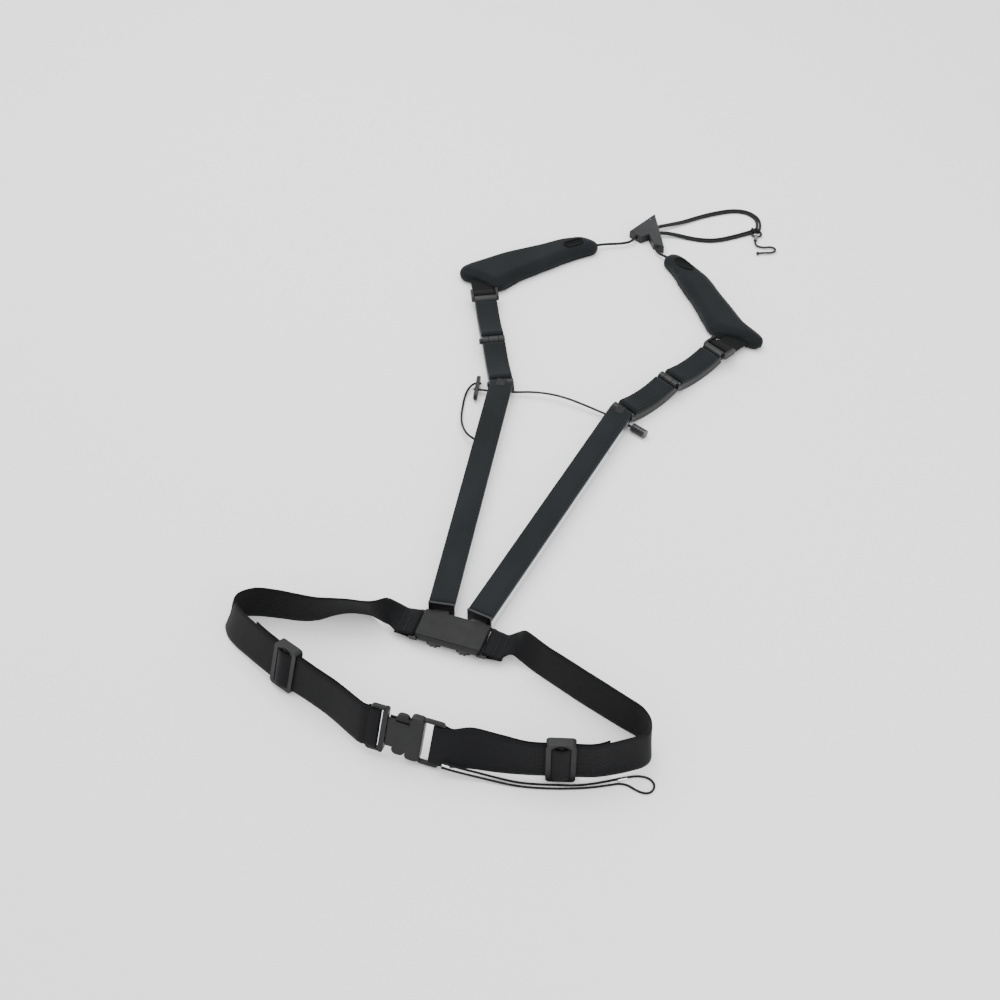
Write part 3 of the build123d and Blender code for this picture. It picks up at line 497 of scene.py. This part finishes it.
# x and y of a strap's low edge, how far its top leans inwards, and its lift off the table
RIGHT_RAIL = [
    (91, -8.5, -6.5, 0), (109, -15.4, -7, 0), (128, -22.6, -7.2, 0), (149, -29.8, -6.8, 0),
    (169, -36.4, -6, 0), (184, -41, -4.5, 0), (195, -48, -1, 0), (201, -58, 4, 0), (198, -68, 7, 0.5),
    (188, -77, 7.5, 1.5), (174, -87, 6.5, 3), (160, -94.9, 4.5, 4.3), (135, -102.5, 4.7, 4.5),
    (110, -110, 5, 4.5), (86, -115.9, 10.5, 4.5), (62, -120.1, 14.5, 4.5),
]
LEFT_RAIL = [
    (-81, 7.4, 13, 0), (-98, 4.2, 13, 0), (-111, -3, 10.5, 0), (-123, -13, 4.5, 0),
    (-137, -18.8, 0, 0), (-156, -22.2, -1.8, 0), (-175, -26, -1.5, 0), (-189, -31, 4, 0),
    (-197.5, -38, 11, 0), (-199, -48, 14, 0.5), (-191, -58, 14, 1.5), (-178, -67, 14, 3),
    (-163, -74.5, 13.5, 4.3), (-150, -80.5, 13, 4.5), (-122, -92, 12.5, 4.5), (-94, -101, 10.5, 4.5),
    (-69, -110.5, 11, 5.2), (-48, -118, 12.7, 7.3),
]
# edge pairs where each strap turns from lying flat at the plate to standing on its edge
PLATE_TWIST = {
    1: [
        ((57, -1, 11), (57, 21.5, 16)),
        ((66, -2.2, 8), (66, 13, 32)),
        ((75, -4.5, 4.5), (75, 7.5, 35.5)),
        ((84, -6.8, 1.8), (84, 2.5, 36.5)),
    ],
    -1: [
        ((-56, -4.5, 10), (-56, 17.5, 17)),
        ((-63, -0.5, 6), (-63, 9.5, 30)),
        ((-71, 4, 2.5), (-71, 0.5, 33)),
    ],
}
PLATE_MID = 6.5
EYE_HALF = 14.5
WEB_THICK = 1.5
RETURN_GAP = 2.3


def on_edge(rail, side, back=0.0):
    """Edge pairs of a strap standing on its edge: rail rows are x, y, lean inwards and lift."""
    out = []
    for i, (x, y, lean, lift) in enumerate(rail):
        after, before = rail[min(i + 1, len(rail) - 1)], rail[max(i - 1, 0)]
        ahead = unit(np.array((after[0] - before[0], after[1] - before[1], 0.0)))
        inward = np.cross(ahead, UP) * side
        low = np.array((x, y, lift + 0.3)) + inward * back
        out.append((low, low + inward * lean + UP * sqrt(WEB**2 - lean**2)))
    return out


def plate_eye(side):
    """The strap's sewn turn round the end bar of the lumbar plate, from its tail to its top layer."""
    turn = [(51, 6.9), (44, 6.3), (38.5, 5.5), (35, 5.3), (33, 6.2), (32.6, 7.8), (33, 9.5), (35, 10.4),
            (38.5, 10.2), (44, 9.0), (48.5, 8.6)]
    near, far = PLATE_MID - EYE_HALF, PLATE_MID + EYE_HALF
    return [(np.array((side * x, near, z)), np.array((side * x, far, z))) for x, z in turn]


def plate_twist(side):
    return [(np.array(a), np.array(b)) for a, b in PLATE_TWIST[side]]


def buckle_turn(side):
    """The strap's turn round the buckle's bar, from its outer layer to its inner layer."""
    turn = [(39.5, 1.1), (34, 1.9), (30, 3.0), (26.1, 3.4), (24.1, 2.5), (23.2, 0), (24.1, -2.5),
            (26.1, -3.4), (30, -3.0), (34, -2.0), (39.5, -1.3)]
    out = []
    for u, t in turn:
        mid = CENTRE + AXIS * side * u + FACE * t
        out.append((mid - WIDE * WEB / 2, mid + WIDE * WEB / 2))
    return out


right_return = on_edge(RIGHT_RAIL[-6:], 1, RETURN_GAP)[::-1]
right_run = plate_eye(1) + plate_twist(1) + on_edge(RIGHT_RAIL, 1)
right_web = ribbon("belt_right_web", right_run + buckle_turn(1) + right_return, WEB_THICK, M_WEB)
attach(right_web, "lumbar")
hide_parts("belt_right")
left_edges = on_edge(LEFT_RAIL, -1)
rear_run = plate_eye(-1) + plate_twist(-1) + left_edges[:10]
rear_web = ribbon("belt_left_rear_web", rear_run, WEB_THICK, M_WEB)
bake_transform(rear_web)
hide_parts("belt_left_rear")
left_return = on_edge(LEFT_RAIL[-6:], -1, RETURN_GAP)[-2::-1]
front_web = ribbon("belt_left_front_web", left_edges[9:-1] + buckle_turn(-1) + left_return, WEB_THICK, M_WEB)
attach(front_web, "belt_left")
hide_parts("belt_left_front")

for side, name in ((-1, "left"), (1, "right")):
    for x in (42.5, 48.5):
        ys = np.linspace(PLATE_MID - EYE_HALF + 1.5, PLATE_MID + EYE_HALF - 1.5, 9)
        z = 10.15 if x < 45 else 9.5
        row = [(side * x, y, z) for y in ys]
        line = stitch_line(f"plate_stitch_{name}_{x:.0f}", row, [(0, 0, 1)] * 9, M_THREAD, 2.2, 0.8, 0.4)
        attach(line, "lumbar")


# ---- strip cushions -----------------------------------------------------------------
def strip(name, centres, ups, sides, material):
    """A stitched foam strip: centres lie on its underside, ups and sides are unit vectors."""
    prof = [(-1, 0), (-1, 0.6), (-0.985, 0.84), (-0.94, 0.95), (-0.87, 0.965), (-0.835, 0.90), (-0.80, 0.975),
            (-0.66, 1.02), (-0.4, 1.05), (0, 1.065)]
    prof = prof + [(-v, h) for v, h in prof[-2::-1]]
    run = np.concatenate([[0], np.cumsum(np.linalg.norm(np.diff(centres, axis=0), axis=1))])
    verts, faces, uvs = [], [], []
    soft = np.minimum(1, 0.72 + np.minimum(run, run[-1] - run) / 6)
    for i in range(len(centres)):
        for v, h in prof:
            height = h * STRIP_DEPTH * (soft[i] if h > 0.5 else 1)
            verts.append((centres[i] + sides[i] * v * STRIP_HALF + ups[i] * height) * MM)
            uvs.append((run[i] * MM, v * STRIP_HALF * MM))
    n = len(prof)
    for i in range(len(centres) - 1):
        for j in range(n):
            k = (j + 1) % n
            faces.append((i * n + j, i * n + k, (i + 1) * n + k, (i + 1) * n + j))
    faces.append(tuple(range(n - 1, -1, -1)))
    faces.append(tuple((len(centres) - 1) * n + j for j in range(n)))
    return mesh_object(name, verts, faces, material, uvs)


def heading(angle, side):
    return np.array((side * sin(radians(angle)), cos(radians(angle)), 0.0))


YAW = {"left": 26.5, "right": 28.5}
SLAT_TURN = 8.8
KNOB_X = 14.0
SLAT_TOP = 14.5
CHORD, HINGE_Z, HINGE_S = 69.5, 13.5, 333.0
HINGE_RADIUS, SHELL_RADIUS = 98.0, 97.0
STRIP_HALF, STRIP_DEPTH = 11.95, 6.0
SEAM_AT, SEAM_HIGH = 10.0, 5.55
for side, name in ((-1, "left"), (1, "right")):
    along = heading(SLAT_TURN, side)
    cross = np.cross(along, UP)
    pivot = np.array((side * KNOB_X, 0, 0))
    s = np.concatenate([[28.05, 28.6, 30, 33], np.arange(38, 326, 6), [328, 331, 331.9]])
    centres = pivot + np.outer(s, along) + UP * SLAT_TOP
    ones = np.ones((len(s), 1))
    cushion = strip(f"slat_cushion_{name}", centres, ones * UP, ones * cross, M_STRIP)
    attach(cushion, f"slat_{name}")
    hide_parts(f"slat_pad_{name}")
    for k in (-1, 1):
        row = centres[2:-2] + cross * k * SEAM_AT + UP * SEAM_HIGH
        stitches = stitch_line(f"slat_stitch_{name}_{k + 1}", row, ones[2:-2] * UP, M_THREAD)
        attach(stitches, f"slat_{name}")
    reach = heading(YAW[name], side)
    lateral = np.cross(reach, UP)
    start = pivot + along * HINGE_S
    cx = CHORD / 2
    cz = HINGE_Z + sqrt(HINGE_RADIUS**2 - cx**2)
    for number in (1, 2):
        a = np.radians(np.linspace(-17.2, 17.6, 26))
        ups = -np.sin(a)[:, None] * reach + np.cos(a)[:, None] * UP
        across, high = cx + SHELL_RADIUS * np.sin(a), cz - SHELL_RADIUS * np.cos(a)
        base = start + np.outer(across, reach) + np.outer(high, UP)
        lat = np.ones((len(a), 1)) * lateral
        pad = strip(f"link_cushion_{number}_{name}", base, ups, lat, M_STRIP)
        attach(pad, f"link_{number}_{name}")
        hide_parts(f"link_{number}_pad_{name}")
        for k in (-1, 1):
            row = (base + lat * k * SEAM_AT + ups * SEAM_HIGH)[2:-2]
            stitches = stitch_line(f"link_stitch_{number}_{name}_{k + 1}", row, ups[2:-2], M_THREAD)
            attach(stitches, f"link_{number}_{name}")
        start = start + reach * CHORD


# ---- shoulder pads ---------------------------------------------------------------------
PAD_OUTLINES = {
    "left": [
        (-40, 597), (-61, 603), (-84, 590), (-104, 572), (-138, 544), (-159, 522), (-172, 508), (-175, 498),
        (-171, 491), (-152, 487), (-123, 481), (-109, 500), (-89, 527), (-69, 552), (-47, 577), (-38, 588),
    ],
    "right": [
        (39, 597), (49, 606), (62, 602), (77, 591), (95, 578), (114, 557), (133, 536), (156, 511), (174, 496),
        (178, 488), (174, 481), (149, 483), (122, 486), (107, 501), (86, 531), (64, 559), (44, 585),
    ],
}
# each window: middle, turn in degrees, half length, half width, squareness of its outline
WINDOWS = {
    "left": ((-64.5, 580), 46.0, 11.5, 5.2, 3.2),
    "right": ((65, 583.5), -31.0, 13.5, 6.0, 2.0),
}
PAD_VOXEL = 0.0045
CLOTH_FRAMES = 20
PAD_SWELL = 0.0016
PAD_FLOOR = 0.0003
TAPER, TAPER_REACH = 0.15, 0.011
RIM_GROOVE = 0.0008
WINDOW_DIP = 0.0011
PANEL_LIFT, PANEL_DEPTH = 0.0005, 0.002
PIPE_LIFT, PIPE_RADIUS = 0.0006, 0.0008


def shoulder_pad(name, spot, turn, half_long, half_wide):
    source = nodes[f"shoulder_pad_{name}"]
    ob = bpy.data.objects.new(f"shoulder_cushion_{name}", source.data.copy())
    scene.collection.objects.link(ob)
    ob.data.materials.clear()
    ob.data.materials.append(M_PAD)
    bpy.context.view_layer.objects.active = ob
    bm = bmesh.new()
    bm.from_mesh(ob.data)
    bmesh.ops.remove_doubles(bm, verts=bm.verts, dist=1e-6)
    bm.to_mesh(ob.data)
    bm.free()
    r = ob.modifiers.new("remesh", "REMESH")
    r.mode = "VOXEL"
    r.voxel_size = PAD_VOXEL
    r.use_smooth_shade = True
    bpy.context.view_layer.update()
    me = bpy.data.meshes.new_from_object(ob.evaluated_get(bpy.context.evaluated_depsgraph_get()))
    ob.modifiers.clear()
    ob.data = me
    rest = np.array([v.co for v in me.vertices])
    c = ob.modifiers.new("cloth", "CLOTH")
    c.settings.use_pressure = True
    c.settings.uniform_pressure_force = 4
    c.settings.tension_stiffness = 12
    c.settings.bending_stiffness = 0.6
    c.settings.mass = 0.2
    c.settings.effector_weights.gravity = 0
    c.settings.quality = 5
    c.point_cache.frame_start = 1
    c.point_cache.frame_end = CLOTH_FRAMES
    for f in range(1, CLOTH_FRAMES + 1):
        scene.frame_set(f)
    got = bpy.data.meshes.new_from_object(ob.evaluated_get(bpy.context.evaluated_depsgraph_get()))
    moved = np.array([v.co for v in got.vertices])
    ob.modifiers.clear()
    ob.data = got
    scene.frame_set(1)
    d = moved - rest
    size = np.linalg.norm(d, axis=1, keepdims=True)
    moved = rest + d * np.minimum(1, PAD_SWELL / np.maximum(size, 1e-9))
    moved[:, 2] = np.maximum(moved[:, 2], 0.0004)
    ob.data.vertices.foreach_set("co", moved.ravel())
    s = ob.modifiers.new("finer", "SUBSURF")
    s.levels = s.render_levels = 2
    bpy.context.view_layer.update()
    fine = bpy.data.meshes.new_from_object(ob.evaluated_get(bpy.context.evaluated_depsgraph_get()))
    ob.modifiers.clear()
    ob.data = fine
    co = np.array([v.co for v in fine.vertices])
    nor = np.array([v.normal for v in fine.vertices])
    # thinner towards the rim
    line = np.array(PAD_OUTLINES[name] + PAD_OUTLINES[name][:1], float) * MM
    away = np.full(len(co), 9.0)
    for a, b in zip(line[:-1], line[1:]):
        t = np.clip(((co[:, :2] - a) @ (b - a)) / ((b - a) @ (b - a)), 0, 1)
        away = np.minimum(away, np.linalg.norm(co[:, :2] - a - t[:, None] * (b - a), axis=1))
    f = np.clip(away / TAPER_REACH, 0, 1)
    co[:, 2] *= 1 - TAPER + TAPER * f * f * (3 - 2 * f)
    # seam groove round the rim and the sunk mesh window near the tip
    rim = np.exp(-((co[:, 2] - 0.0045) / 0.0009) ** 2) * np.clip(1 - np.abs(nor[:, 2]) * 1.4, 0, 1)
    co -= nor * (rim * RIM_GROOVE)[:, None]
    a = radians(turn)
    dx, dy = co[:, 0] - spot[0] * MM, co[:, 1] - spot[1] * MM
    u, v = dx * cos(a) + dy * sin(a), -dx * sin(a) + dy * cos(a)
    inside = np.sqrt((u / (half_long * MM)) ** 2 + (v / (half_wide * MM)) ** 2)
    dip = np.clip((1.15 - inside) / 0.3, 0, 1) * (nor[:, 2] > 0.3)
    co[:, 2] -= dip * dip * (3 - 2 * dip) * WINDOW_DIP
    co[:, 2] = np.maximum(co[:, 2], PAD_FLOOR)
    fine.vertices.foreach_set("co", co.ravel())
    fine.shade_smooth()
    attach(ob, f"pad_{name}")
    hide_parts(f"shoulder_pad_{name}")
    return co[nor[:, 2] > 0.2]


def window(name, spot, turn, half_long, half_wide, square, surface):
    """Mesh panel with a piped border, lying in the dip of the pad's upper face."""
    a = radians(turn)
    n = 48
    ring = []
    for k in range(n):
        t = 2 * pi * k / n
        u = half_long * np.sign(cos(t)) * abs(cos(t)) ** (2 / square)
        v = half_wide * np.sign(sin(t)) * abs(sin(t)) ** (2 / square)
        ring.append(((spot[0] + u * cos(a) - v * sin(a)) * MM, (spot[1] + u * sin(a) + v * cos(a)) * MM))

    def height(x, y):
        near = np.argsort((surface[:, 0] - x) ** 2 + (surface[:, 1] - y) ** 2)[:10]
        return float(surface[near, 2].max())

    mid_x, mid_y = spot[0] * MM, spot[1] * MM
    rows = [(mid_x, mid_y)]
    for share in (0.35, 0.7, 1.0):
        rows += [(mid_x + (x - mid_x) * share, mid_y + (y - mid_y) * share) for x, y in ring]
    verts = [(x, y, height(x, y) + PANEL_LIFT) for x, y in rows]
    faces = [(0, k + 1, (k + 1) % n + 1) for k in range(n)]
    for first in (1, 1 + n):
        for k in range(n):
            q = (k + 1) % n
            faces.append((first + k, first + n + k, first + n + q, first + q))
    rim, skirt = 1 + 2 * n, 1 + 3 * n
    verts += [(x, y, z - PANEL_DEPTH) for x, y, z in verts[rim:skirt]]
    for k in range(n):
        q = (k + 1) % n
        faces.append((rim + k, skirt + k, skirt + q, rim + q))
    faces.append(tuple(range(skirt + n - 1, skirt - 1, -1)))
    panel = mesh_object(f"window_panel_{name}", verts, faces, M_MESH)
    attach(panel, f"pad_{name}")
    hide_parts(f"pad_window_{name}")
    pipe = bpy.data.curves.new(f"window_piping_{name}", "CURVE")
    pipe.dimensions = "3D"
    pipe.bevel_depth = PIPE_RADIUS
    pipe.bevel_resolution = 3
    sp = pipe.splines.new("NURBS")
    sp.points.add(n - 1)
    for q, (x, y) in zip(sp.points, ring):
        q.co = (x, y, height(x, y) + PIPE_LIFT, 1)
    sp.use_cyclic_u = True
    pipe.materials.append(M_TAB)
    border = bpy.data.objects.new(f"window_piping_{name}", pipe)
    scene.collection.objects.link(border)
    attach(as_mesh(border), f"pad_{name}")


for name, (spot, turn, half_long, half_wide, square) in WINDOWS.items():
    surface = shoulder_pad(name, spot, turn, half_long, half_wide)
    window(name, spot, turn, half_long, half_wide, square, surface)


# ---- webbing over the slides' middle bars, and hinge tabs ------------------------------
HUMP_HALF = 18.3
for side, name, rail, ends in ((1, "right", RIGHT_RAIL, (11, 13)), (-1, "left", LEFT_RAIL, (13, 15))):
    a, b = rail[ends[0]], rail[ends[1]]
    along = unit(np.array((b[0] - a[0], b[1] - a[1], 0.0)))
    inward = np.cross(along, UP) * side
    lean = (a[2] + b[2]) / 2
    wide = unit(inward * lean + UP * sqrt(WEB**2 - lean**2))
    outward = UP * wide.dot(inward) - inward * wide[2]
    low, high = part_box(f"triglide_{name}")
    centre = np.array((low + high) / 2) / MM
    stations = []
    rise = [(-8.3, 1.0), (-7.4, 3.2), (-5.0, 5.6), (-2.2, 7.0)]
    for u, h in rise + [(0, 7.3)] + [(-u, h) for u, h in rise[::-1]]:
        mid = centre + along * u + outward * h
        stations.append((mid - wide * HUMP_HALF, mid + wide * HUMP_HALF))
    hump = ribbon(f"triglide_web_{name}", stations, WEB_THICK, M_WEB, step=1.0)
    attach(hump, f"triglide_{name}")

for side, name in ((-1, "left"), (1, "right")):
    along = heading(SLAT_TURN, side)
    cross = np.cross(along, UP)
    verts, faces = [], []
    for z, grow in ((19.6, 0), (21.0, 0), (21.6, -0.7)):
        for s, v in ((321.5, -4.6), (321.5, 4.6), (332.5, 4.6), (332.5, -4.6)):
            s2 = s - grow if s < 325 else s + grow
            knob = np.array((side * KNOB_X, 0, 0))
            q = knob + along * s2 + cross * (v + grow * np.sign(v)) + UP * z
            verts.append(q * MM)
    for r in (0, 4):
        faces += [(r + k, r + (k + 1) % 4, r + 4 + (k + 1) % 4, r + 4 + k) for k in range(4)]
    faces += [(3, 2, 1, 0), (8, 9, 10, 11)]
    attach(mesh_object(f"hinge_tab_{name}", verts, faces, M_COVER, smooth=False), f"slat_{name}")


# ---- small metal and cord details -----------------------------------------------------
def ball(name, at, radius, material, body):
    bpy.ops.mesh.primitive_uv_sphere_add(segments=24, ring_count=14, radius=radius, location=at)
    ob = bpy.context.object
    ob.name = name
    ob.data.materials.append(material)
    ob.data.shade_smooth()
    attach(ob, body)


def hoop(name, at, axis, radius, wire, material, body):
    bpy.ops.mesh.primitive_torus_add(major_radius=radius, minor_radius=wire, location=at,
                                     major_segments=32, minor_segments=12)
    ob = bpy.context.object
    ob.name = name
    ob.rotation_euler = Vector(axis).to_track_quat("Z", "Y").to_euler()
    ob.data.materials.append(material)
    ob.data.shade_smooth()
    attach(ob, body)


ball("hook_tip", (0.137, 0.649, 0.0024), 0.0021, M_HOOK, "hook")
hoop("loop_knot_1", (0.1265, 0.6895, 0.0034), (0.2, 1, 0.1), 0.0026, 0.0014, M_BRAID, "adjuster")
hoop("loop_knot_2", (0.1225, 0.6880, 0.0034), (0.8, 0.6, 0.1), 0.0026, 0.0014, M_BRAID, "adjuster")
bpy.ops.mesh.primitive_cylinder_add(vertices=24, radius=0.0014, depth=0.0016, location=(0.005, 0.662, 0.0092))
screw = bpy.context.object
screw.name = "adjuster_screw"
screw.data.materials.append(M_STEEL)
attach(screw, "adjuster")

# ---- stage and light ---------------------------------------------------------------------
bpy.ops.mesh.primitive_plane_add(size=12, location=(0, 0.3, 0))
floor = bpy.context.object
floor.name = "floor"
floor.data.materials.append(base_material("floor", (0.93, 0.93, 0.93), 0.9)[0])

world = bpy.data.worlds.new("world")
scene.world = world
world.use_nodes = True
world.node_tree.nodes["Background"].inputs["Color"].default_value = (1, 1, 1, 1)
world.node_tree.nodes["Background"].inputs["Strength"].default_value = 1.3


def area(name, at, to, size, power):
    light = bpy.data.lights.new(name, "AREA")
    light.energy = power
    light.size = size
    ob = bpy.data.objects.new(name, light)
    ob.location = at
    ob.rotation_euler = (Vector(to) - Vector(at)).to_track_quat("-Z", "Y").to_euler()
    scene.collection.objects.link(ob)


area("key", (-0.7, 0.9, 1.6), (0, 0.25, 0), 1.2, 22)
area("fill", (1.3, -0.6, 1.3), (0, 0.25, 0), 1.4, 14)
area("top", (0.1, 0.3, 2.0), (0, 0.25, 0), 1.5, 16)
